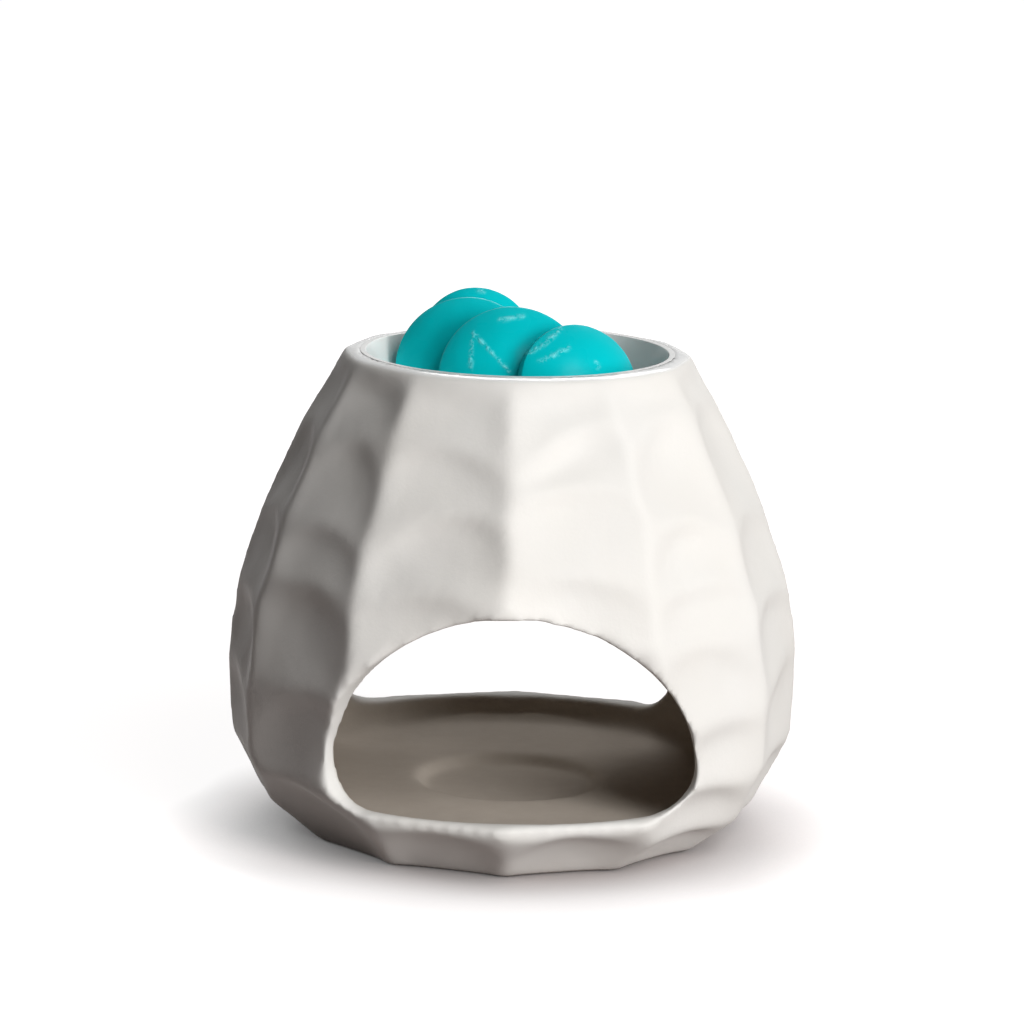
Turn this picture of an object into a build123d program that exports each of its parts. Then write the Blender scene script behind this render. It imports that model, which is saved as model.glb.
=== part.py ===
"""Wax melt warmer: a hand-carved ceramic burner with a lift-out melting dish and domed wax melts.

Millimetres. +Z is up, the origin is the middle of the foot on the table, and the front faces -Y.
"""

from build123d import *
import math
import os
import random

# Body, carved outside. Radii run from the axis to the flats.
HEIGHT = 107.2
RIM_R = 37.0
BELLY_R = 61.6
BELLY_TOP_Z = 40.0
BELLY_LOW_Z = 28.0
FOOT_R = 44.0
SHOULDER_POWER = 1.62

# Carving: columns of flat cuts. Each front column has the way it faces, 0 to the front and positive to
# the right, and the heights of the ridges between its cuts. Those round the back are spaced less evenly.
FRONT_COLUMNS = {
    -79: (9, 21, 37, 55, 74, 92),
    -50: (18, 39.5, 62, 74, 92),
    -18: (12, 28.5, 46, 64, 80, 93),
    16: (12, 30.5, 51, 68, 86, 96),
    46: (9, 20, 33.5, 52, 64, 77, 98),
    75: (9, 22, 40, 57, 75, 99),
}
BACK_COLUMNS = (105, 135, 165, 194, 223, 252)
BACK_ROWS = 7
RIDGE_WANDER = 3.0
TWIST_WANDER = 1.0
CARVING_SEED = 5

# Body, hollow inside.
WALL = 5.2
FLOOR_Z = 11.0
FLOOR_CORNER_R = 6.0
FOOT_RING_W = 8.0
FOOT_RECESS = 4.0
FOOT_RECESS_DRAFT = 2.0
SEAT_R = 20.0
SEAT_DEPTH = 2.5

# Openings, front and rear, alike but for the sill. The half widths are those at OPENING_AT_Y, and the
# jamb on the left of each is cut with more splay than the one on the right.
OPENING_LEFT_W = 41.0
OPENING_RIGHT_W = 40.5
OPENING_AT_Y = 48.0
FRONT_SILL_Z = 14.9
REAR_SILL_Z = 16.2
OPENING_WIDEST_Z = 23.5
OPENING_TOP_Z = 59.4
OPENING_CORNER_W = 11.0
ARCH_POWER = 1.9
ARCH_STEPS = 8
LEFT_SPLAY = 0.75
RIGHT_SPLAY = 0.1

# Melting dish, dropped into a rebate inside the rim.
RIM_T = 2.7
DISH_CLEARANCE = 0.25
DISH_LIP_W = 0.7
DISH_LIP_H = 10.0
DISH_DEPTH = 24.0
DISH_WALL = 3.0
BOWL_LEAN = 22.0
BOWL_CORNER_R = 14.0
DISH_FOOT_R = 14.0
DISH_FOOT_W = 2.5
DISH_FOOT_H = 1.2
LEDGE_W = 2.2
LEDGE_T = 4.5
LEDGE_UNDERCUT = 6.0

# Wax melts: domed rounds cast with a flat back.
MELT_R = 16.5
MELT_T = 11.0
MELT_DOME_R = 24.0
MELT_EDGE_R = 2.0
MELT_GAP = 0.3
SETTLE_STEP = 0.05
DROP_HEIGHT = 30.0

# Where each melt stands, from the back of the dish to the front: middle x and y, the way its dome
# faces, the tip of the dome away from straight up, and its size against the full round.
MELT_PLACES = {
    "wax_melt_back": (-9.2, 18.2, -86.0, 75.0, 0.8),
    "wax_melt_left": (-11.2, 7.2, -94.0, 74.0, 0.98),
    "wax_melt_middle": (-1.0, -4.4, -89.0, 74.0, 1.0),
    "wax_melt_right": (14.2, -12.3, -68.0, 70.0, 0.83),
}

# Places that follow from the sizes above.
FOOT_ARC_R = ((BELLY_R - FOOT_R) ** 2 + BELLY_LOW_Z**2) / (2 * (BELLY_R - FOOT_R))
REBATE_R = RIM_R - RIM_T
LEDGE_Z = HEIGHT - DISH_LIP_H
LIP_R = REBATE_R - DISH_CLEARANCE
BOWL_MOUTH_R = LIP_R - DISH_LIP_W
BOWL_Z = HEIGHT - DISH_DEPTH
DISH_BOTTOM_Z = BOWL_Z - DISH_WALL
THROAT_R = REBATE_R - LEDGE_W
DISH_NECK_R = THROAT_R - DISH_CLEARANCE
BLANK_SIZE = 3 * BELLY_R


def shoulder_rise(z):
    """How far up the shoulder z is, from 0 at the belly to 1 at the rim."""
    return (z - BELLY_TOP_Z) / (HEIGHT - BELLY_TOP_Z)


def outside_radius(z):
    """Radius of the carved outside at height z."""
    if z > BELLY_TOP_Z:
        return BELLY_R - (BELLY_R - RIM_R) * shoulder_rise(z) ** SHOULDER_POWER
    if z < BELLY_LOW_Z:
        return BELLY_R - FOOT_ARC_R + math.sqrt(FOOT_ARC_R**2 - (BELLY_LOW_Z - z) ** 2)
    return BELLY_R


def direction(azimuth, lean):
    """Unit vector at an azimuth from +X and a lean above level, both in degrees."""
    level = math.cos(math.radians(lean))
    return Vector(
        level * math.cos(math.radians(azimuth)),
        level * math.sin(math.radians(azimuth)),
        math.sin(math.radians(lean)),
    )


def carving(hand):
    """Every column of cuts: the way it faces, and the heights of its ridges from foot to rim."""
    columns = dict(FRONT_COLUMNS)
    pitch = HEIGHT / BACK_ROWS
    for azimuth in BACK_COLUMNS:
        columns[azimuth] = [
            row * pitch + hand.uniform(-RIDGE_WANDER, RIDGE_WANDER) for row in range(1, BACK_ROWS)
        ]
    return [(azimuth, (0, *ridges, HEIGHT)) for azimuth, ridges in columns.items()]


def carved_block():
    """The solid outside shape: a blank cut flat from ridge to ridge, column by column."""
    hand = random.Random(CARVING_SEED)
    block = Pos(0, 0, HEIGHT / 2) * Box(BLANK_SIZE, BLANK_SIZE, HEIGHT)
    for column, ridges in carving(hand):
        for low, high in zip(ridges, ridges[1:]):
            azimuth = column - 90 + hand.uniform(-TWIST_WANDER, TWIST_WANDER)
            fall = outside_radius(low) - outside_radius(high)
            lean = math.degrees(math.atan2(fall, high - low))
            on_ridge = direction(azimuth, 0) * outside_radius(low) + Vector(0, 0, low)
            flat = Plane(origin=on_ridge, z_dir=direction(azimuth, lean))
            block = split(block, bisect_by=flat, keep=Keep.BOTTOM)
    return block


def turned(*edges):
    """Solid of revolution about Z of an outline with x as the radius and y as the height."""
    return revolve(Plane.XZ * make_face(edges), Axis.Z)


def hollow():
    """The space inside the body: chamber, ledge, throat and the rebate that takes the dish."""
    corner_z = FLOOR_Z + FLOOR_CORNER_R
    wall_top_z = LEDGE_Z - LEDGE_T - LEDGE_UNDERCUT
    heights = (corner_z, BELLY_LOW_Z, BELLY_TOP_Z, (BELLY_TOP_Z + wall_top_z) / 2, wall_top_z)
    wall_points = [(outside_radius(z) - WALL, z) for z in heights]
    wall = Spline(wall_points)
    corner_start = (wall_points[0][0] - FLOOR_CORNER_R, FLOOR_Z)
    corner = TangentArc(corner_start, wall_points[0], tangent=(1, 0))
    rest = Polyline(
        wall_points[-1],
        (THROAT_R, LEDGE_Z - LEDGE_T),
        (THROAT_R, LEDGE_Z),
        (REBATE_R, LEDGE_Z),
        (REBATE_R, HEIGHT),
        (0, HEIGHT),
        (0, FLOOR_Z),
        corner_start,
    )
    return turned(corner, wall, rest)


def half_arch(half_w):
    """Points of one side of an arch, from the jamb at its widest up to the crown."""
    rise = OPENING_TOP_Z - OPENING_WIDEST_Z
    points = []
    for step in range(ARCH_STEPS + 1):
        angle = math.pi / 2 * step / ARCH_STEPS
        x = half_w * max(math.cos(angle), 0) ** (2 / ARCH_POWER)
        points.append((x, OPENING_WIDEST_Z + rise * math.sin(angle) ** (2 / ARCH_POWER)))
    points[-1] = (0, OPENING_TOP_Z)
    return points


def arch_face(y, sill_z):
    """Outline of an opening at distance y in front of the axis."""
    left_w = OPENING_LEFT_W + (y - OPENING_AT_Y) * LEFT_SPLAY
    right_w = OPENING_RIGHT_W + (y - OPENING_AT_Y) * RIGHT_SPLAY
    left_end = OPENING_CORNER_W - left_w
    right_end = right_w - OPENING_CORNER_W
    fall = OPENING_WIDEST_Z - sill_z
    corner = (OPENING_CORNER_W, fall)
    left_arch = [(-x, z) for x, z in reversed(half_arch(left_w))]
    outline = [
        Spline(half_arch(right_w), tangents=[(0, 1), (-1, 0)]),
        Spline(left_arch, tangents=[(-1, 0), (0, -1)]),
        EllipticalCenterArc((left_end, OPENING_WIDEST_Z), *corner, 180, arc_size=90),
        Line((left_end, sill_z), (right_end, sill_z)),
        EllipticalCenterArc((right_end, OPENING_WIDEST_Z), *corner, 270, arc_size=90),
    ]
    return Plane(origin=(0, -y, 0), x_dir=(1, 0, 0), z_dir=(0, -1, 0)) * make_face(outline)


def opening(sill_z):
    """Block cut out of the front wall, splayed so that the jambs run square to the wall."""
    outer = arch_face(BLANK_SIZE / 2, sill_z)
    inner = arch_face(OPENING_AT_Y / 2, sill_z)
    return loft([outer, inner], ruled=True)


def foot_recess():
    """Shallow hollow under the base that leaves a foot ring."""
    ring_inner_r = outside_radius(0) - FOOT_RING_W
    outline = Polyline(
        (0, 0),
        (ring_inner_r, 0),
        (ring_inner_r - FOOT_RECESS_DRAFT, FOOT_RECESS),
        (0, FOOT_RECESS),
        close=True,
    )
    return turned(outline)


def body_shell():
    """One ceramic casting: carved wall, floor with the tealight seat, both openings and the rim."""
    seat = Pos(0, 0, FLOOR_Z - SEAT_DEPTH) * extrude(Circle(SEAT_R), SEAT_DEPTH)
    rear = Rot(0, 0, 180) * opening(REAR_SILL_Z)
    return carved_block() - hollow() - foot_recess() - opening(FRONT_SILL_Z) - rear - seat


def bowl_section(mouth_r, mouth_z, bottom_z, corner_r):
    """Half section of a flat-bottomed bowl with a leaning wall, from its axis to its mouth."""
    foot_r = mouth_r - (mouth_z - bottom_z) * math.tan(math.radians(BOWL_LEAN))
    return FilletPolyline((0, bottom_z), (foot_r, bottom_z), (mouth_r, mouth_z), radius=corner_r)


def melting_dish():
    """Glazed dish with a deep lip that stands on the ledge inside the rim, and a foot ring."""
    inside = bowl_section(BOWL_MOUTH_R, HEIGHT, BOWL_Z, BOWL_CORNER_R)
    outside = bowl_section(DISH_NECK_R, LEDGE_Z, DISH_BOTTOM_Z, BOWL_CORNER_R + DISH_WALL)
    lip = Polyline((DISH_NECK_R, LEDGE_Z), (LIP_R, LEDGE_Z), (LIP_R, HEIGHT), (BOWL_MOUTH_R, HEIGHT))
    axis = Line((0, DISH_BOTTOM_Z), (0, BOWL_Z))
    bowl = turned(*inside.edges(), *lip.edges(), *outside.edges(), axis)
    foot_outer_r = DISH_FOOT_R + DISH_FOOT_W / 2
    foot_ring = Circle(foot_outer_r) - Circle(foot_outer_r - DISH_FOOT_W)
    foot = extrude(foot_ring, DISH_FOOT_H + DISH_WALL / 2)
    return bowl + Pos(0, 0, DISH_BOTTOM_Z - DISH_FOOT_H) * foot


def wax_melt():
    """Domed round with a flat back and rounded edges, its middle at the origin."""
    puck = extrude(Circle(MELT_R), MELT_T)
    melt = puck & Pos(0, 0, MELT_T - MELT_DOME_R) * Sphere(MELT_DOME_R)
    rims = melt.edges().filter_by(lambda edge: edge.is_closed)
    return Pos(0, 0, -MELT_T / 2) * fillet(rims, MELT_EDGE_R)


def settled(melt, supports):
    """The melt lowered straight down until it is the melt gap away from what it lies on."""
    while True:
        drop = min(melt.distance_to(support) for support in supports) - MELT_GAP
        if drop < SETTLE_STEP:
            return melt
        melt = Pos(0, 0, -drop) * melt


def wax_pile(dish):
    """Every melt in the dish, each let down in front of the one before it."""
    pile = {}
    supports = [dish]
    for name, (x, y, facing, tip, size) in MELT_PLACES.items():
        turn = Rot(0, 0, facing) * Rot(0, tip, 0)
        held = Pos(x, y, HEIGHT + DROP_HEIGHT) * turn * scale(wax_melt(), size)
        pile[name] = settled(held, supports)
        supports = [dish, pile[name]]
    return pile


os.makedirs("parts", exist_ok=True)
dish = melting_dish()
export_step(body_shell(), "parts/body_shell.step")
export_step(dish, "parts/melting_dish.step")
for name, melt in wax_pile(dish).items():
    export_step(melt, f"parts/{name}.step")
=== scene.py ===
import math

import bmesh
import bpy
import numpy as np
from mathutils import Matrix, Vector


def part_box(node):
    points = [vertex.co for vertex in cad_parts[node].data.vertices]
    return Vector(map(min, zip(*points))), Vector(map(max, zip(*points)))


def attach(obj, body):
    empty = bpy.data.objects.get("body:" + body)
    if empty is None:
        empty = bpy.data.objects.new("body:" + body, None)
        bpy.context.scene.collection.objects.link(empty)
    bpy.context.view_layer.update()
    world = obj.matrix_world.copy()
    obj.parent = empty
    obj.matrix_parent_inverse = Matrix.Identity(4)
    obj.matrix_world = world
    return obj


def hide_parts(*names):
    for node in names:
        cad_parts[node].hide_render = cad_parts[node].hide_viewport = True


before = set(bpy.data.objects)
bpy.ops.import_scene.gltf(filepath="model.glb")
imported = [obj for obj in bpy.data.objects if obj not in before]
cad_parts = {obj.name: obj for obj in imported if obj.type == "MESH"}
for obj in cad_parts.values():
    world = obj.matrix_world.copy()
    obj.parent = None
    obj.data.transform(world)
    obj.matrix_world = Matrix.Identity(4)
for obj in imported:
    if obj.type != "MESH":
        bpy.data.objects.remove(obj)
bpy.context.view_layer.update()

# Body. One ceramic casting with a matt white glaze: the wall, the chamber floor with its tealight
# seat, both arched openings and the rim are a single piece. A gouge has hollowed every cut of the
# outside a little, and the glaze has softened each edge.
MM = 0.001
CLAY_GRID = 1.08 * MM
WELD = 0.005 * MM
CUT_LEAST = 12 * MM**2
CUT_RUN_OUT = 6 * MM
CUT_SKIN = 1.5 * MM
SCOOP_DEPTH = 1.6 * MM
SCOOP_DEEPEST = 0.72
SCOOP_LEAST = {"depth": 0.55, "arch": 0.15, "skew": -0.2}
SCOOP_MOST = {"depth": 1.3, "arch": 0.45, "skew": 0.2}
SCOOP_SEED = 3
WOBBLE_SCALE = 60
WOBBLE_LEAST = 0.5
OUTWARD_LEAST = 0.3
INWARD_LEAST = 0.6
GLAZE_PASSES = 5
REBATE_R = 34.3 * MM
REBATE_H = 10 * MM
RIM_ROUND_H = 6 * MM
RIM_FLAT_R = 35.5 * MM
RIM_EDGE_PERCENT = 85
GLAZE_WHITE = (0.80, 0.79, 0.765, 1)
GLAZE_CREAM = (0.78, 0.755, 0.71, 1)
CLAY_TAUPE = (0.46, 0.40, 0.34, 1)
CLAY_PALE = (0.53, 0.475, 0.41, 1)
CLAY_EDGE = 1.6 * MM
CHAMBER_R = 30 * MM
CHAMBER_Z = 10 * MM
SEAT_DROP = 3 * MM
FOOT_WIPE = 0.4 * MM
RIM_GLOSS_H = 0.5 * MM
DISH_WHITE = (0.86, 0.86, 0.85, 1)


def welded(node):
    """A CAD node's shape with its loose triangles joined up."""
    shape = bmesh.new()
    shape.from_mesh(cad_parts[node].data)
    bmesh.ops.remove_doubles(shape, verts=shape.verts, dist=WELD)
    shape.normal_update()
    return shape


def placed(name, data):
    """An object of that mesh, lamp or camera, at the origin."""
    thing = bpy.data.objects.new(name, data)
    bpy.context.scene.collection.objects.link(thing)
    return thing


def faces_out(face):
    """True for a face that looks away from the axis."""
    away = Vector((*face.calc_center_median().xy, 0)).normalized()
    return face.normal.dot(away) > OUTWARD_LEAST


def rounded_normal(face):
    """The same key for faces of one plane."""
    return tuple(round(part, 3) for part in face.normal)


def area_of(faces):
    """The area of several faces."""
    return sum(face.calc_area() for face in faces)


def flat_cuts(shape):
    """The flat cuts of the outside, each with its corners and the cuts on its four sides."""
    flats = {}
    for face in shape.faces:
        if faces_out(face):
            flats.setdefault(rounded_normal(face), []).append(face)
    flats = [faces for faces in flats.values() if area_of(faces) > CUT_LEAST]
    number = {face: count for count, faces in enumerate(flats) for face in faces}
    cuts = []
    for count, faces in enumerate(flats):
        out = faces[0].normal.copy()
        up = (Vector((0, 0, 1)) - out * out.z).normalized()
        side = up.cross(out)
        corners = [vert.co.copy() for face in faces for vert in face.verts]
        middle = sum(corners, Vector()) / len(corners)
        ways = {"up": up, "down": -up, "right": side, "left": -side}
        beside = {name: set() for name in ways}
        for edge in {edge for face in faces for edge in face.edges}:
            run = edge.verts[1].co - edge.verts[0].co
            off = edge.verts[0].co.lerp(edge.verts[1].co, 0.5) - middle
            upright = abs(run.dot(up)) > abs(run.dot(side))
            choice = ("right", "left") if upright else ("up", "down")
            name = max(choice, key=lambda way: off.dot(ways[way]))
            beside[name] |= {number[face] for face in edge.link_faces if face in number} - {count}
        cuts.append({"out": out, "ways": ways, "corners": corners, "beside": beside})
    return cuts


def points_of(thing):
    """The places of a mesh's points."""
    places = np.empty(3 * len(thing.data.vertices))
    thing.data.vertices.foreach_get("co", places)
    return places.reshape(-1, 3)


def round_rim(clay):
    """Makes the outside round at the rim, where the cuts run out."""
    points = points_of(clay)
    spread = np.hypot(points[:, 0], points[:, 1])
    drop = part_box("body_shell")[1].z - points[:, 2]
    outer = (drop < RIM_ROUND_H) & (spread > REBATE_R + CLAY_GRID)
    band = np.round(drop / CLAY_GRID).astype(int)
    wanted = spread.copy()
    for step in np.unique(band[outer]):
        here = outer & (band == step)
        edge = np.percentile(spread[here], RIM_EDGE_PERCENT)
        skin = here & (spread > edge - CUT_SKIN)
        share = np.clip(1 - drop[skin] / RIM_ROUND_H, 0, 1)
        wanted[skin] += (edge - spread[skin]) * share
    points[:, :2] *= (wanted / spread)[:, None]
    clay.data.vertices.foreach_set("co", points.ravel())


def true_rim(body):
    """Makes the inner edge of the rim and its rebate as crisp as the dish that sits in it."""
    points = points_of(body)
    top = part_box("body_shell")[1].z
    spread = np.hypot(points[:, 0], points[:, 1])
    drop = top - points[:, 2]
    near = (spread < RIM_FLAT_R) & (drop < REBATE_H - CLAY_GRID)
    spots = np.stack([spread[near], -drop[near]], axis=1)
    laid = spots.copy()
    least = np.full(len(spots), np.inf)
    section = np.array([(RIM_FLAT_R, 0), (REBATE_R, 0), (REBATE_R, -REBATE_H)])
    for start, run in zip(section, np.diff(section, axis=0)):
        share = np.clip((spots - start) @ run / (run @ run), 0, 1)
        found = start + share[:, None] * run
        gap = np.linalg.norm(spots - found, axis=1)
        closer = gap < least
        laid[closer] = found[closer]
        least[closer] = gap[closer]
    points[near, :2] *= (laid[:, 0] / spots[:, 0])[:, None]
    points[near, 2] = top + laid[:, 1]
    body.data.vertices.foreach_set("co", points.ravel())


def mark_cuts(clay, cuts):
    """Gives each point of the outside its place in its own cut, and which way the gouge went in."""
    points = points_of(clay)
    outs = np.array([cut["out"] for cut in cuts])
    reach = [max(corner.dot(cut["out"]) for corner in cut["corners"]) for cut in cuts]
    proud = points @ outs.T - np.array(reach)
    owner = proud.argmax(axis=1)
    fade = np.clip(1 + proud.max(axis=1) / CUT_SKIN, 0, 1)
    fade *= np.clip((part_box("body_shell")[1].z - points[:, 2]) / CUT_RUN_OUT, 0, 1)
    place = np.zeros((len(points), 3))
    inward = np.zeros((len(points), 3))
    hand = np.random.default_rng(SCOOP_SEED)
    for count, cut in enumerate(cuts):
        mine = owner == count
        room = {}
        for name, way in cut["ways"].items():
            far = max(corner.dot(way) for corner in cut["corners"]) + CUT_RUN_OUT
            edges = [far - points[mine] @ np.array(way)]
            for other in cut["beside"][name]:
                lean = np.linalg.norm(np.cross(cut["out"], outs[other]))
                edges.append(-proud[mine, other] / lean)
            room[name] = np.maximum(np.min(edges, axis=0), WELD)
        up = room["down"] / (room["down"] + room["up"])
        across = (room["left"] - room["right"]) / (room["left"] + room["right"])
        depth, arch, skew = hand.uniform(list(SCOOP_LEAST.values()), list(SCOOP_MOST.values()))
        place[mine, 0] = up + arch * across**2 + skew * across
        place[mine, 1] = across
        inward[mine] = -outs[count] * depth
    for name, values in (("cut_place", place), ("cut_inward", inward * fade[:, None])):
        stored = clay.data.attributes.new(name, "FLOAT_VECTOR", "POINT")
        stored.data.foreach_set("vector", values.ravel())


def new_tree(name, inputs):
    """A geometry tree with these named inputs, of which the first comes out again."""
    tree = bpy.data.node_groups.new(name, "GeometryNodeTree")
    for label, kind in inputs.items():
        tree.interface.new_socket(label, in_out="INPUT", socket_type=f"NodeSocket{kind}")
    tree.interface.new_socket(next(iter(inputs)), in_out="OUTPUT", socket_type="NodeSocketGeometry")
    given = tree.nodes.new("NodeGroupInput").outputs
    result = tree.nodes.new("NodeGroupOutput").inputs[0]
    return tree, given, result


def joined(tree, *pairs):
    """Links output sockets to input sockets."""
    for source, target in pairs:
        tree.links.new(source, target)


def math_node(tree, operation, *values, kind="ShaderNodeMath", output=0):
    """A math node's result; each value is a socket to link or a constant."""
    node = tree.nodes.new(kind)
    node.operation = operation
    for socket, value in zip(node.inputs, values):
        if isinstance(value, bpy.types.NodeSocket):
            tree.links.new(value, socket)
        else:
            socket.default_value = value
    return node.outputs[output]


def mapped(tree, value, low, high, to_low=0.0, to_high=1.0):
    """A value carried from one range to another, and held at its ends."""
    ramp = tree.nodes.new("ShaderNodeMapRange")
    limits = {"From Min": low, "From Max": high, "To Min": to_low, "To Max": to_high}
    for name, limit in limits.items():
        ramp.inputs[name].default_value = limit
    joined(tree, (value, ramp.inputs["Value"]))
    return ramp.outputs["Result"]


def marked(tree, name):
    """A vector that was stored on the points."""
    stored = tree.nodes.new("GeometryNodeInputNamedAttribute")
    stored.data_type = "FLOAT_VECTOR"
    stored.inputs["Name"].default_value = name
    return [socket for socket in stored.outputs if socket.enabled][0]


def moved(tree, geometry, way, length):
    """The geometry with each point moved that way and that far."""
    offset = tree.nodes.new("ShaderNodeVectorMath")
    offset.operation = "SCALE"
    place = tree.nodes.new("GeometryNodeSetPosition")
    joined(tree, (way, offset.inputs[0]), (length, offset.inputs["Scale"]))
    joined(tree, (geometry, place.inputs["Geometry"]), (offset.outputs[0], place.inputs["Offset"]))
    return place.outputs[0]


def finished(tree, geometry, finish, result):
    """Ends a tree, with its instances made real and the material set."""
    real = tree.nodes.new("GeometryNodeRealizeInstances")
    painted = tree.nodes.new("GeometryNodeSetMaterial")
    joined(tree, (geometry, real.inputs[0]), (real.outputs[0], painted.inputs["Geometry"]))
    joined(tree, (finish, painted.inputs["Material"]), (painted.outputs[0], result))


def scoop_shape(tree, deepest):
    """How far the gouge goes in at each place of a cut, as a share of the full depth."""
    place = tree.nodes.new("ShaderNodeSeparateXYZ")
    joined(tree, (marked(tree, "cut_place"), place.inputs[0]))
    up, across = place.outputs["X"], place.outputs["Y"]
    quarter = math.pi / 2
    rise = math_node(tree, "DIVIDE", up, deepest)
    rise = math_node(tree, "MULTIPLY", mapped(tree, rise, 0, 1), quarter)
    past = math_node(tree, "SUBTRACT", up, deepest)
    past = math_node(tree, "DIVIDE", past, math_node(tree, "SUBTRACT", 1.0, deepest))
    past = math_node(tree, "MULTIPLY", mapped(tree, past, 0, 1), quarter)
    scoop = math_node(tree, "MULTIPLY", math_node(tree, "SINE", rise), math_node(tree, "COSINE", past))
    width = math_node(tree, "SUBTRACT", 1.0, math_node(tree, "MULTIPLY", across, across))
    scoop = math_node(tree, "MULTIPLY", scoop, width)
    wobble = tree.nodes.new("ShaderNodeTexNoise")
    wobble.inputs["Scale"].default_value = WOBBLE_SCALE
    wobble.inputs["Detail"].default_value = 1
    return math_node(tree, "MULTIPLY", scoop, math_node(tree, "ADD", wobble.outputs[0], WOBBLE_LEAST))


def off_the_rebate(tree, position, rim_height):
    """One away from the rebate, and zero in it, where the edges stay crisp."""
    flat = math_node(tree, "MULTIPLY", position, (1, 1, 0), kind="ShaderNodeVectorMath")
    spread = math_node(tree, "LENGTH", flat, kind="ShaderNodeVectorMath", output="Value")
    place = tree.nodes.new("ShaderNodeSeparateXYZ")
    joined(tree, (position, place.inputs[0]))
    drop = math_node(tree, "SUBTRACT", rim_height, place.outputs["Z"])
    outside = mapped(tree, spread, REBATE_R + CLAY_GRID / 2, REBATE_R + 2 * CLAY_GRID)
    below = mapped(tree, drop, REBATE_H, REBATE_H + 2 * CLAY_GRID)
    return math_node(tree, "MAXIMUM", outside, below)


def gouge_tree():
    """Hollows each cut of the outside, deepest near its upper end, and softens the edges."""
    tree, given, result = new_tree("gouge_scoops", {
        "Clay": "Geometry",
        "Scoop depth": "Float",
        "Scoop deepest": "Float",
        "Glaze passes": "Int",
        "Rim height": "Float",
        "Finish": "Material",
    })
    scoop = scoop_shape(tree, given["Scoop deepest"])
    depth = math_node(tree, "MULTIPLY", scoop, given["Scoop depth"])
    scooped = moved(tree, given["Clay"], marked(tree, "cut_inward"), depth)

    position = tree.nodes.new("GeometryNodeInputPosition").outputs[0]
    weight = off_the_rebate(tree, position, given["Rim height"])
    soft = tree.nodes.new("GeometryNodeBlurAttribute")
    soft.data_type = "FLOAT_VECTOR"
    places = [socket for socket in soft.inputs if socket.name == "Value" and socket.enabled]
    joined(tree, (position, places[0]), (given["Glaze passes"], soft.inputs["Iterations"]))
    joined(tree, (weight, soft.inputs["Weight"]))
    blurred = [socket for socket in soft.outputs if socket.enabled]
    glazed = tree.nodes.new("GeometryNodeSetPosition")
    joined(tree, (scooped, glazed.inputs["Geometry"]), (blurred[0], glazed.inputs["Position"]))
    finished(tree, glazed.outputs[0], given["Finish"], result)
    return tree


def with_tree(thing, tree, **values):
    """Adds the tree to the object as a modifier, with its inputs set by name."""
    modifier = thing.modifiers.new(tree.name, "NODES")
    modifier.node_group = tree
    for name, value in values.items():
        wanted = name.replace("_", " ").capitalize()
        modifier[tree.interface.items_tree[wanted].identifier] = value


def settled(thing, name):
    """The object with its modifiers turned into a plain mesh of its own."""
    graph = bpy.context.evaluated_depsgraph_get()
    mesh = bpy.data.meshes.new_from_object(thing.evaluated_get(graph))
    bpy.data.objects.remove(thing)
    mesh.name = name
    mesh.polygons.foreach_set("use_smooth", [True] * len(mesh.polygons))
    return placed(name, mesh)


def new_finish(name):
    """A material, its node tree and its shader."""
    material = bpy.data.materials.new(name)
    material.use_nodes = True
    return material, material.node_tree, material.node_tree.nodes["Principled BSDF"]


def noise(tree, scale, detail=2.0, roughness=0.5):
    """A noise pattern on the piece's own coordinates."""
    place = tree.nodes.new("ShaderNodeTexCoord")
    pattern = tree.nodes.new("ShaderNodeTexNoise")
    pattern.inputs["Scale"].default_value = scale
    pattern.inputs["Detail"].default_value = detail
    pattern.inputs["Roughness"].default_value = roughness
    joined(tree, (place.outputs["Object"], pattern.inputs["Vector"]))
    return pattern.outputs[0]


def between(tree, factor, low, high):
    """A value that runs from low to high with the factor."""
    return mapped(tree, factor, 0, 1, low, high)


def blended(tree, factor, first, second):
    """A colour between two others, each a socket or a constant."""
    mix = tree.nodes.new("ShaderNodeMix")
    mix.data_type = "RGBA"
    joined(tree, (factor, mix.inputs["Factor"]))
    colours = [socket for socket in mix.inputs if socket.type == "RGBA"]
    for socket, colour in zip(colours, (first, second)):
        if isinstance(colour, bpy.types.NodeSocket):
            joined(tree, (colour, socket))
        else:
            socket.default_value = colour
    return [socket for socket in mix.outputs if socket.type == "RGBA"][0]


def bump(tree, height, distance, strength, under=None):
    """A bump of that distance in metres, over another bump if there is one."""
    node = tree.nodes.new("ShaderNodeBump")
    node.inputs["Distance"].default_value = distance
    node.inputs["Strength"].default_value = strength
    joined(tree, (height, node.inputs["Height"]))
    if under:
        joined(tree, (under, node.inputs["Normal"]))
    return node.outputs[0]


def stored_mark(tree, name):
    """A mark that was stored on the piece's points."""
    mark = tree.nodes.new("ShaderNodeAttribute")
    mark.attribute_name = name
    return mark.outputs["Fac"]


def height_in(tree):
    """The height above the floor, on the piece's own coordinates."""
    place = tree.nodes.new("ShaderNodeTexCoord")
    parts = tree.nodes.new("ShaderNodeSeparateXYZ")
    joined(tree, (place.outputs["Object"], parts.inputs[0]))
    return parts.outputs["Z"]


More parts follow.
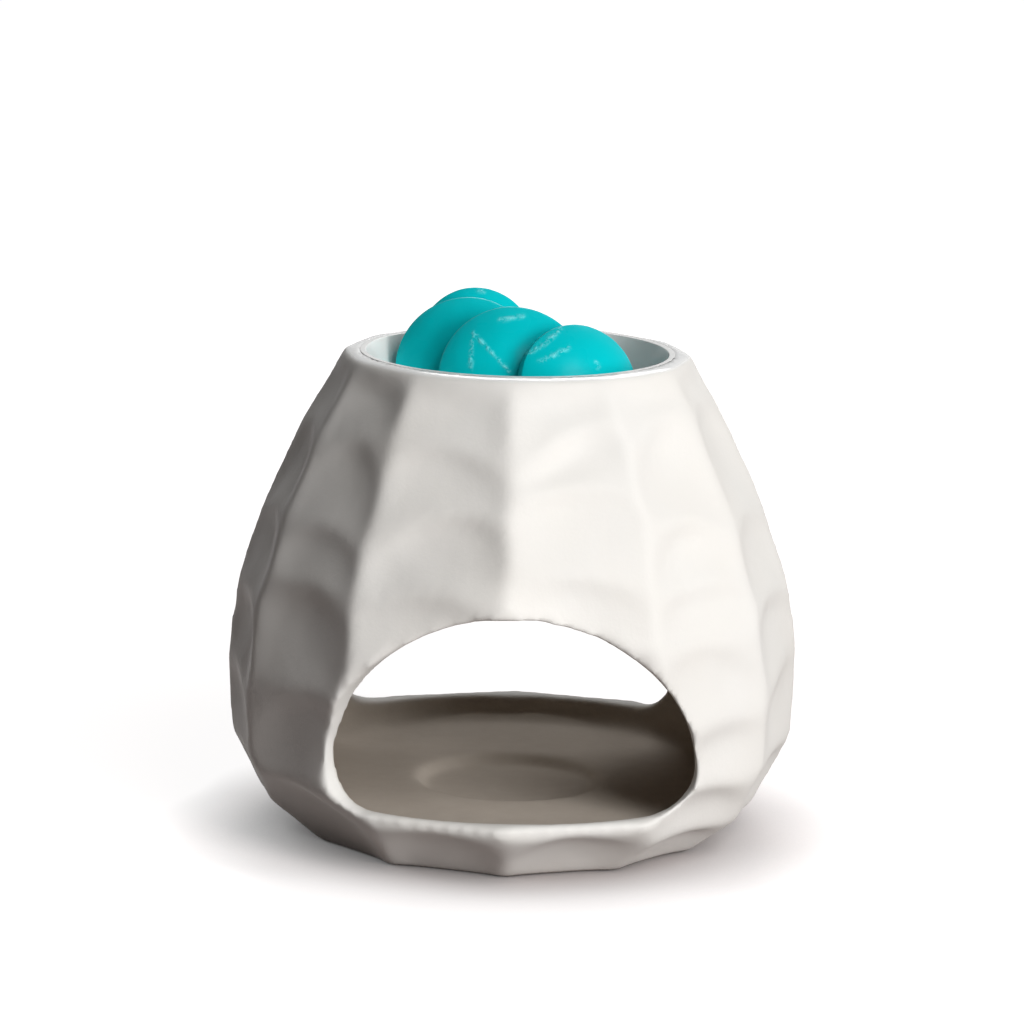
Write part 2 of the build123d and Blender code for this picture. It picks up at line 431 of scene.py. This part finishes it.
def matt_glaze():
    """Matt white glaze, creamier in patches, with bare taupe clay inside and a glossy rim."""
    material, tree, shader = new_finish("matt_white_glaze")
    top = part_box("body_shell")[1].z
    bare = stored_mark(tree, "bare_clay")
    rim = mapped(tree, height_in(tree), top - 1.5 * RIM_GLOSS_H, top - 0.5 * RIM_GLOSS_H)
    glaze = blended(tree, noise(tree, scale=35, detail=3), GLAZE_CREAM, GLAZE_WHITE)
    glaze = blended(tree, rim, glaze, DISH_WHITE)
    clay = blended(tree, noise(tree, scale=220, detail=4, roughness=0.65), CLAY_TAUPE, CLAY_PALE)
    joined(tree, (blended(tree, bare, glaze, clay), shader.inputs["Base Color"]))
    ripple = bump(tree, noise(tree, scale=140), distance=0.25 * MM, strength=0.5)
    tooth = bump(tree, noise(tree, scale=1400, detail=3), distance=0.05 * MM, strength=0.5, under=ripple)
    joined(tree, (tooth, shader.inputs["Normal"]))
    matt = math_node(tree, "MAXIMUM", between(tree, noise(tree, scale=90), low=0.5, high=0.68), bare)
    shine = math_node(tree, "MULTIPLY", matt, between(tree, rim, low=1.0, high=0.2))
    joined(tree, (shine, shader.inputs["Roughness"]))
    shader.inputs["Specular IOR Level"].default_value = 0.2
    return material


def chamber_wall(shape):
    """Heights and radii of the chamber's wall, from the faces at its sides that look at the axis."""
    found = {}
    for face in shape.faces:
        middle = face.calc_center_median()
        at_side = abs(middle.x) >= 2 * abs(middle.y)
        if middle.xy.length < CHAMBER_R or middle.z < CHAMBER_Z or not at_side:
            continue
        if face.normal.dot(Vector((*middle.xy, 0)).normalized()) < -INWARD_LEAST:
            found.update({round(vert.co.z, 5): vert.co.xy.length for vert in face.verts})
    heights = sorted(found)
    return heights, [found[z] for z in heights]


def glaze_marks(body, wall):
    """Marks the bare clay: the chamber inside the glaze line and the wiped foot."""
    x, y, z = points_of(body).T
    ways = np.empty(3 * len(body.data.vertices))
    body.data.vertices.foreach_get("normal", ways)
    nx, ny, _ = ways.reshape(-1, 3).T
    spread = np.hypot(x, y)
    looks_in = (x * nx + y * ny) / spread < OUTWARD_LEAST
    depth = np.interp(z, *wall) + CLAY_EDGE - spread
    in_chamber = (z > CHAMBER_Z - SEAT_DROP) & (z < z.max() - REBATE_H - CLAY_GRID)
    inside = np.clip(depth / CLAY_EDGE, 0, 1) * looks_in * in_chamber
    wiped = np.clip(2 - z / FOOT_WIPE, 0, 1)
    bare = body.data.attributes.new("bare_clay", "FLOAT", "POINT")
    bare.data.foreach_set("value", np.maximum(inside, wiped))


def carved_body():
    """The body on an even grid, with its cuts scooped and its edges softened."""
    shape = welded("body_shell")
    cuts = flat_cuts(shape)
    wall = chamber_wall(shape)
    mesh = bpy.data.meshes.new("body")
    shape.to_mesh(mesh)
    shape.free()
    block = placed("block", mesh)
    grid = block.modifiers.new("even_grid", "REMESH")
    grid.mode = "VOXEL"
    grid.voxel_size = CLAY_GRID
    clay = settled(block, "clay")
    mark_cuts(clay, cuts)
    round_rim(clay)
    with_tree(
        clay,
        gouge_tree(),
        scoop_depth=SCOOP_DEPTH,
        scoop_deepest=SCOOP_DEEPEST,
        glaze_passes=GLAZE_PASSES,
        rim_height=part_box("body_shell")[1].z,
        finish=matt_glaze(),
    )
    body = settled(clay, "carved_body")
    true_rim(body)
    glaze_marks(body, wall)
    return body


body = carved_body()
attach(body, "burner")
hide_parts("body_shell")

# Melting dish. Turned porcelain with a clear gloss glaze, dropped into the rebate inside the rim, where
# its deep lip stands on the ledge. A foot ring is left from the wheel underneath.
LIP_W = 0.7 * MM
LIP_GAP = 0.03 * MM
LIP_ROLL = 0.35 * MM
LIP_H = 10 * MM
BOWL_DEPTH = 24 * MM
BOWL_LEAN = math.radians(22)
BOWL_CORNER = 14 * MM
DISH_WALL = 3 * MM
NECK_IN = 2.2 * MM
DISH_FOOT_R = 14 * MM
DISH_FOOT_W = 2.5 * MM
DISH_FOOT_H = 1.2 * MM
SOFT_EDGE = 0.3 * MM
ARC_STEPS = 8
TURN_STEPS = 192
LONGEST_RUN = 0.8 * MM


def rounded_outline(corners):
    """Points along an outline of (radius, height, rounding) corners, with each corner an arc."""
    points = []
    for before, (r, z, rounding), after in zip([None, *corners], corners, [*corners[1:], None]):
        here = Vector((r, z))
        if not rounding:
            points.append(here)
            continue
        back = (Vector(before[:2]) - here).normalized()
        onward = (Vector(after[:2]) - here).normalized()
        half = back.angle(onward) / 2
        middle = here + (back + onward).normalized() * rounding / math.sin(half)
        start = here + back * rounding / math.tan(half) - middle
        end = here + onward * rounding / math.tan(half) - middle
        arc = [start.slerp(end, step / ARC_STEPS) for step in range(ARC_STEPS + 1)]
        points += [middle + way * rounding for way in arc]
    return points


def close_points(points):
    """The same outline with no run longer than the longest."""
    closer = [points[0]]
    for start, end in zip(points, points[1:]):
        pieces = math.ceil((end - start).length / LONGEST_RUN)
        closer += [start.lerp(end, (piece + 1) / pieces) for piece in range(pieces)]
    return closer


def turned(name, outline):
    """A closed mesh turned round Z from (radius, height) points that start and end on the axis."""
    rings = outline[1:-1]
    verts = [(0, 0, outline[0].y), (0, 0, outline[-1].y)]
    for point in rings:
        for step in range(TURN_STEPS):
            angle = 2 * math.pi * step / TURN_STEPS
            verts.append((point.x * math.cos(angle), point.x * math.sin(angle), point.y))
    faces = []
    last = 2 + (len(rings) - 1) * TURN_STEPS
    for step in range(TURN_STEPS):
        onward = (step + 1) % TURN_STEPS
        faces.append((0, 2 + onward, 2 + step))
        faces.append((1, last + step, last + onward))
        for ring in range(len(rings) - 1):
            low = 2 + ring * TURN_STEPS
            high = low + TURN_STEPS
            faces.append((low + step, low + onward, high + onward, high + step))
    mesh = bpy.data.meshes.new(name)
    mesh.from_pydata(verts, [], faces)
    shape = bmesh.new()
    shape.from_mesh(mesh)
    bmesh.ops.recalc_face_normals(shape, faces=shape.faces)
    shape.to_mesh(mesh)
    shape.free()
    mesh.polygons.foreach_set("use_smooth", [True] * len(mesh.polygons))
    return mesh


def dish_outline():
    """Half section of the dish, from the middle of the bowl over the lip to the middle below."""
    low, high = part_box("melting_dish")
    top, lip_r = high.z, REBATE_R - LIP_GAP
    bowl_z = top - BOWL_DEPTH
    under_z = low.z + DISH_FOOT_H
    mouth_r = high.x - LIP_W
    neck_r = high.x - NECK_IN
    ledge_z = top - LIP_H
    bowl_r = mouth_r - BOWL_DEPTH * math.tan(BOWL_LEAN)
    under_r = neck_r - (ledge_z - under_z) * math.tan(BOWL_LEAN)
    foot_r = DISH_FOOT_R + DISH_FOOT_W / 2
    return rounded_outline([
        (0, bowl_z, 0),
        (bowl_r, bowl_z, BOWL_CORNER),
        (mouth_r, top, SOFT_EDGE),
        (lip_r + LIP_ROLL, top + LIP_GAP, WELD),
        (lip_r, top - LIP_ROLL, WELD),
        (lip_r, ledge_z, SOFT_EDGE),
        (neck_r, ledge_z, SOFT_EDGE),
        (under_r, under_z, BOWL_CORNER - DISH_WALL),
        (foot_r, under_z, 0),
        (foot_r, low.z, SOFT_EDGE),
        (foot_r - DISH_FOOT_W, low.z, SOFT_EDGE),
        (foot_r - DISH_FOOT_W, under_z, 0),
        (0, under_z, 0),
    ])


def gloss_glaze():
    """Clear gloss over white porcelain, faintly rippled."""
    material, tree, shader = new_finish("gloss_white_glaze")
    white = blended(tree, noise(tree, scale=30), DISH_WHITE, GLAZE_WHITE)
    joined(tree, (white, shader.inputs["Base Color"]))
    ripple = bump(tree, noise(tree, scale=60, detail=1), distance=0.2 * MM, strength=0.3)
    joined(tree, (ripple, shader.inputs["Normal"]))
    shine = between(tree, noise(tree, scale=200), low=0.16, high=0.24)
    joined(tree, (shine, shader.inputs["Roughness"]))
    shader.inputs["Specular IOR Level"].default_value = 0.35
    return material


dish_mesh = turned("dish_bowl", close_points(dish_outline()))
dish_mesh.materials.append(gloss_glaze())
dish = placed("dish_bowl", dish_mesh)
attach(dish, "dish")
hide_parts("melting_dish")

# Wax melts. Domed rounds of turquoise scented wax, cast in open moulds, so the back is flat and the
# skin has shrunk a little unevenly. They stand on edge in the dish, one against the other.
WAX_TURQUOISE = (0.0, 0.60, 0.64, 1)
WAX_DEEP = (0.0, 0.50, 0.55, 1)
MELT_R = 16.5 * MM
MELT_DOME_R = 24 * MM
MELT_EDGE = 2 * MM
DOME_EDGE_SHARE = 0.5
DOME_STEPS = 24
WAX_DIMPLE = 0.3 * MM
LUMP_SCALE = 90
# Lighter wax along marked lines on the domes: scrape marks with crumbs, and painted highlights.
WAX_SCUFF_AND_HIGHLIGHT = (0.22, 0.86, 0.90, 1)
SCUFF_AND_HIGHLIGHT_W = 0.4 * MM
SCUFFS_AND_HIGHLIGHTS = {
    "back": [((0.5, 12.3), (1.6, 12.0))],
    "left": [],
    "middle": [
        # A painted highlight on the top of the middle dome.
        ((-3.0, 13.0), (2.1, 14.0)),
        # Scrape marks.
        ((-8.8, 10.0), (-9.4, 1.9)),
        ((-8.8, 10.0), (-0.9, 1.3)),
    ],
    "right": [
        # Painted highlights along the right dome's edge, with crumbs of scraped wax.
        ((-3.1, 12.6), (-7.4, 9.5)),
        ((-7.4, 9.5), (-11.0, 7.6)),
        ((-2.6, 8.0), (-9.4, 5.2)),
        ((2.5, 4.0), (2.9, 3.0)),
    ],
}


def turquoise_wax():
    """Coloured wax that lets a little light in, with a soft shine, loose crumbs where it was scraped, and
    painted highlights, all as lighter specks along marked lines.
    """
    material, tree, shader = new_finish("turquoise_wax")
    colour = blended(tree, noise(tree, scale=60), WAX_DEEP, WAX_TURQUOISE)
    specks = mapped(tree, noise(tree, scale=700, detail=3, roughness=0.7), 0.44, 0.62)
    # The marked lines are painted lighter: crumbs where the wax was scraped, and painted highlights.
    crumbs_and_highlights = math_node(tree, "MULTIPLY", stored_mark(tree, "scuffed_and_highlit"), specks)
    joined(tree, (blended(tree, crumbs_and_highlights, colour, WAX_SCUFF_AND_HIGHLIGHT), shader.inputs["Base Color"]))
    grain = bump(tree, noise(tree, scale=300, detail=3), distance=0.15 * MM, strength=0.5)
    rough = bump(tree, crumbs_and_highlights, distance=0.25 * MM, strength=0.8, under=grain)
    joined(tree, (rough, shader.inputs["Normal"]))
    shine = between(tree, noise(tree, scale=120), low=0.22, high=0.36)
    joined(tree, (shine, shader.inputs["Roughness"]))
    shader.inputs["Specular IOR Level"].default_value = 0.06
    shader.inputs["Subsurface Weight"].default_value = 0.25
    shader.inputs["Subsurface Radius"].default_value = (0.1, 1.0, 1.0)
    shader.inputs["Subsurface Scale"].default_value = 3 * MM
    return material


def flat_back(shape):
    """Middle of a melt's flat back and the way its dome faces."""
    flats = {}
    for face in shape.faces:
        flats.setdefault(rounded_normal(face), []).append(face)
    back = max(flats.values(), key=area_of)
    weighted = (face.calc_center_median() * face.calc_area() for face in back)
    middle = sum(weighted, Vector()) / area_of(back)
    return middle, -back[0].normal


def melt_outline(radius, thickness):
    """Half section of a melt standing on its back: flat back, straight edge and dome."""
    scale = radius / MELT_R
    dome_r = MELT_DOME_R * scale
    edge_h = thickness - dome_r + math.sqrt(dome_r**2 - radius**2)
    half = math.asin(radius / dome_r)
    dome = []
    for step in range(1, DOME_STEPS + 1):
        angle = half * (1 - step / DOME_STEPS)
        dome.append((dome_r * math.sin(angle), thickness - dome_r + dome_r * math.cos(angle), 0))
    return rounded_outline([
        (0, 0, 0),
        (radius, 0, MELT_EDGE * scale),
        (radius, edge_h, MELT_EDGE * scale * DOME_EDGE_SHARE),
        *dome,
    ])


def wax_tree():
    """Sinks the skin of a melt here and there, as cooling wax does."""
    tree, given, result = new_tree("shrunken_skin", {
        "Wax": "Geometry",
        "Dimple": "Float",
        "Finish": "Material",
    })
    normal = tree.nodes.new("GeometryNodeInputNormal").outputs[0]
    lumps = tree.nodes.new("ShaderNodeTexNoise")
    lumps.inputs["Scale"].default_value = LUMP_SCALE
    lumps.inputs["Detail"].default_value = 2
    sink = math_node(tree, "MULTIPLY", lumps.outputs[0], given["Dimple"])
    sink = math_node(tree, "MULTIPLY", sink, -1.0)
    sunk = moved(tree, given["Wax"], normal, sink)
    finished(tree, sunk, given["Finish"], result)
    return tree


def scuff_and_highlight(melt, stand, marks):
    """Marks the lines of a dome that are painted lighter, scrape marks and painted highlights both, each
    laid on the melt in its mould.
    """
    turn = np.array(stand.to_3x3())
    flat = ((points_of(melt) - np.array(stand.translation)) @ turn)[:, :2]
    mark = np.zeros(len(flat))
    for start, end in marks:
        start, run = np.array(start) * MM, (np.array(end) - np.array(start)) * MM
        share = np.clip((flat - start) @ run / (run @ run), 0, 1)
        gap = np.linalg.norm(flat - start - share[:, None] * run, axis=1)
        mark = np.maximum(mark, np.exp(-((gap / SCUFF_AND_HIGHLIGHT_W) ** 2)))
    melt.data.attributes.new("scuffed_and_highlit", "FLOAT", "POINT").data.foreach_set("value", mark)


def cast_melt(place, skin, finish):
    """One melt where its CAD node stands."""
    shape = welded(f"wax_melt_{place}")
    middle, dome_way = flat_back(shape)
    heights = [(vert.co - middle).dot(dome_way) for vert in shape.verts]
    spreads = [(vert.co - middle - dome_way * up).length for vert, up in zip(shape.verts, heights)]
    shape.free()
    mesh = turned("melt", close_points(melt_outline(max(spreads), max(heights))))
    stand = Matrix.Translation(middle) @ dome_way.to_track_quat("Z", "Y").to_matrix().to_4x4()
    mesh.transform(stand)
    raw = placed("raw_melt", mesh)
    with_tree(raw, skin, dimple=WAX_DIMPLE, finish=finish)
    melt = settled(raw, f"melt_{place}")
    scuff_and_highlight(melt, stand, SCUFFS_AND_HIGHLIGHTS[place])
    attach(melt, f"melt_{place}")
    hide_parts(f"wax_melt_{place}")


shrunken_skin, wax_finish = wax_tree(), turquoise_wax()
for place in SCUFFS_AND_HIGHLIGHTS:
    cast_melt(place, shrunken_skin, wax_finish)

# Stage. A pale floor that keeps the warmer's shadow, with a painted contact shadow round its foot, and
# runs out to white away from it, in a dim warm room whose walls show as white.
FLOOR_SIZE = 6.0
WHITE = (1, 1, 1, 1)
FLOOR_PALE = (0.34, 0.295, 0.285, 1)
FLOOR_NEAR = 0.10
FLOOR_FAR = 0.45
FLOOR_LIFT_NEAR = 0.9
# How far the painted contact shadow reaches round the warmer.
PAINTED_SHADOW_REACH = 0.024
ROOM_LIGHT = 0.004
ROOM_WARM = (1.0, 0.93, 0.90, 1)


def seen_directly(tree):
    """One for rays from the camera, and for what shows in gloss and glass."""
    path = tree.nodes.new("ShaderNodeLightPath").outputs
    seen = math_node(tree, "ADD", path["Is Camera Ray"], path["Is Glossy Ray"])
    seen = math_node(tree, "ADD", seen, path["Is Transmission Ray"])
    return math_node(tree, "MINIMUM", seen, 1.0)


def pale_floor():
    """A floor that shows white, but for the shadow near the middle: the cast shadow, and a painted contact
    shadow where occlusion darkens the glow.
    """
    material, tree, shader = new_finish("pale_floor")
    place = tree.nodes.new("ShaderNodeTexCoord")
    away = tree.nodes.new("ShaderNodeVectorMath")
    away.operation = "LENGTH"
    joined(tree, (place.outputs["Object"], away.inputs[0]))
    lift = tree.nodes.new("ShaderNodeMapRange")
    lift.interpolation_type = "SMOOTHSTEP"
    lift.inputs["From Min"].default_value = FLOOR_NEAR
    lift.inputs["From Max"].default_value = FLOOR_FAR
    lift.inputs["To Min"].default_value = FLOOR_LIFT_NEAR
    joined(tree, (away.outputs["Value"], lift.inputs["Value"]))
    # Painted contact shadow: the floor's white glow is darkened by occlusion round the warmer's foot.
    painted_contact_shadow = tree.nodes.new("ShaderNodeAmbientOcclusion")
    painted_contact_shadow.inputs["Distance"].default_value = PAINTED_SHADOW_REACH
    glow = math_node(tree, "MULTIPLY", seen_directly(tree), lift.outputs["Result"])
    glow = math_node(tree, "MULTIPLY", glow, painted_contact_shadow.outputs["AO"])
    joined(tree, (glow, shader.inputs["Emission Strength"]))
    shader.inputs["Emission Color"].default_value = WHITE
    shader.inputs["Base Color"].default_value = FLOOR_PALE
    shader.inputs["Roughness"].default_value = 1.0
    shader.inputs["Specular IOR Level"].default_value = 0.0
    return material


far = FLOOR_SIZE / 2
floor_mesh = bpy.data.meshes.new("floor")
floor_corners = [(-far, -far, 0), (far, -far, 0), (far, far, 0), (-far, far, 0)]
floor_mesh.from_pydata(floor_corners, [], [(0, 1, 2, 3)])
floor_mesh.materials.append(pale_floor())
floor = placed("floor", floor_mesh)

world = bpy.data.worlds.new("studio")
world.use_nodes = True
bpy.context.scene.world = world
room = world.node_tree
sky = room.nodes["Background"]
seen = seen_directly(room)
joined(room, (blended(room, seen, ROOM_WARM, WHITE), sky.inputs["Color"]))
joined(room, (between(room, seen, ROOM_LIGHT, 1.0), sky.inputs["Strength"]))

# Light. Two soft boxes at the front right, one high and one low, a weaker one behind, and a narrow beam
# into the chamber. Nothing but the pale room is on the left.
BOX_AIM = Vector((0, 0, 0.05))
BOX_SIZE = 0.5
LAMP_DISTANCE = 1.2
BEAM_AIM = Vector((0, 0.012, 0.012))
BEAM_WATTS = 5
BEAM_ANGLE = math.radians(2.6)
BEAM_BLEND = 0.6
BEAM_LENS = 0.004
BEAM_ELEVATION = 24


def toward(azimuth, elevation, distance):
    """A point round the object: azimuth 0 is the front and positive is to the right."""
    level = distance * math.cos(math.radians(elevation))
    return Vector((
        level * math.sin(math.radians(azimuth)),
        -level * math.cos(math.radians(azimuth)),
        distance * math.sin(math.radians(elevation)),
    ))


def aimed(name, lamp, aim, stand):
    """The lamp as an object that stands away from its aim and looks at it."""
    thing = placed(name, lamp)
    thing.location = aim + stand
    thing.rotation_euler = (-stand).to_track_quat("-Z", "Y").to_euler()


def soft_box(name, azimuth, elevation, watts):
    """A square lamp that looks at the middle of the warmer."""
    lamp = bpy.data.lights.new(name, "AREA")
    lamp.size = BOX_SIZE
    lamp.energy = watts
    aimed(name, lamp, BOX_AIM, toward(azimuth, elevation, LAMP_DISTANCE))


soft_box("high_box", azimuth=31, elevation=42, watts=5.9)
soft_box("low_box", azimuth=39, elevation=15, watts=10.2)
soft_box("back_box", azimuth=172, elevation=40, watts=4.5)

beam = bpy.data.lights.new("chamber_beam", "SPOT")
beam.energy = BEAM_WATTS
beam.spot_size = BEAM_ANGLE
beam.spot_blend = BEAM_BLEND
beam.shadow_soft_size = BEAM_LENS
aimed("chamber_beam", beam, BEAM_AIM, toward(0, BEAM_ELEVATION, LAMP_DISTANCE))

# Camera. The photograph's view: from the front, a little above, through a long lens that is turned
# slightly off level.
CAMERA_DISTANCE = 1.0
CAMERA_ELEVATION = 11.3
CAMERA_ROLL = 1.2
CAMERA_AIM = Vector((-0.0005, 0, 0.07105))
FOCAL_PIXELS = 4520
IMAGE_PIXELS = 1024
SENSOR = 36.0
lens = bpy.data.cameras.new("camera")
lens.sensor_width = SENSOR
lens.lens = FOCAL_PIXELS / IMAGE_PIXELS * SENSOR
camera = placed("camera", lens)
view_from = toward(0, CAMERA_ELEVATION, CAMERA_DISTANCE)
camera.location = CAMERA_AIM + view_from
facing = (-view_from).to_track_quat("-Z", "Y").to_matrix().to_4x4()
roll = Matrix.Rotation(math.radians(CAMERA_ROLL), 4, "Z")
camera.rotation_euler = (facing @ roll).to_euler()
bpy.context.scene.camera = camera
bpy.context.scene.view_settings.view_transform = "Standard"
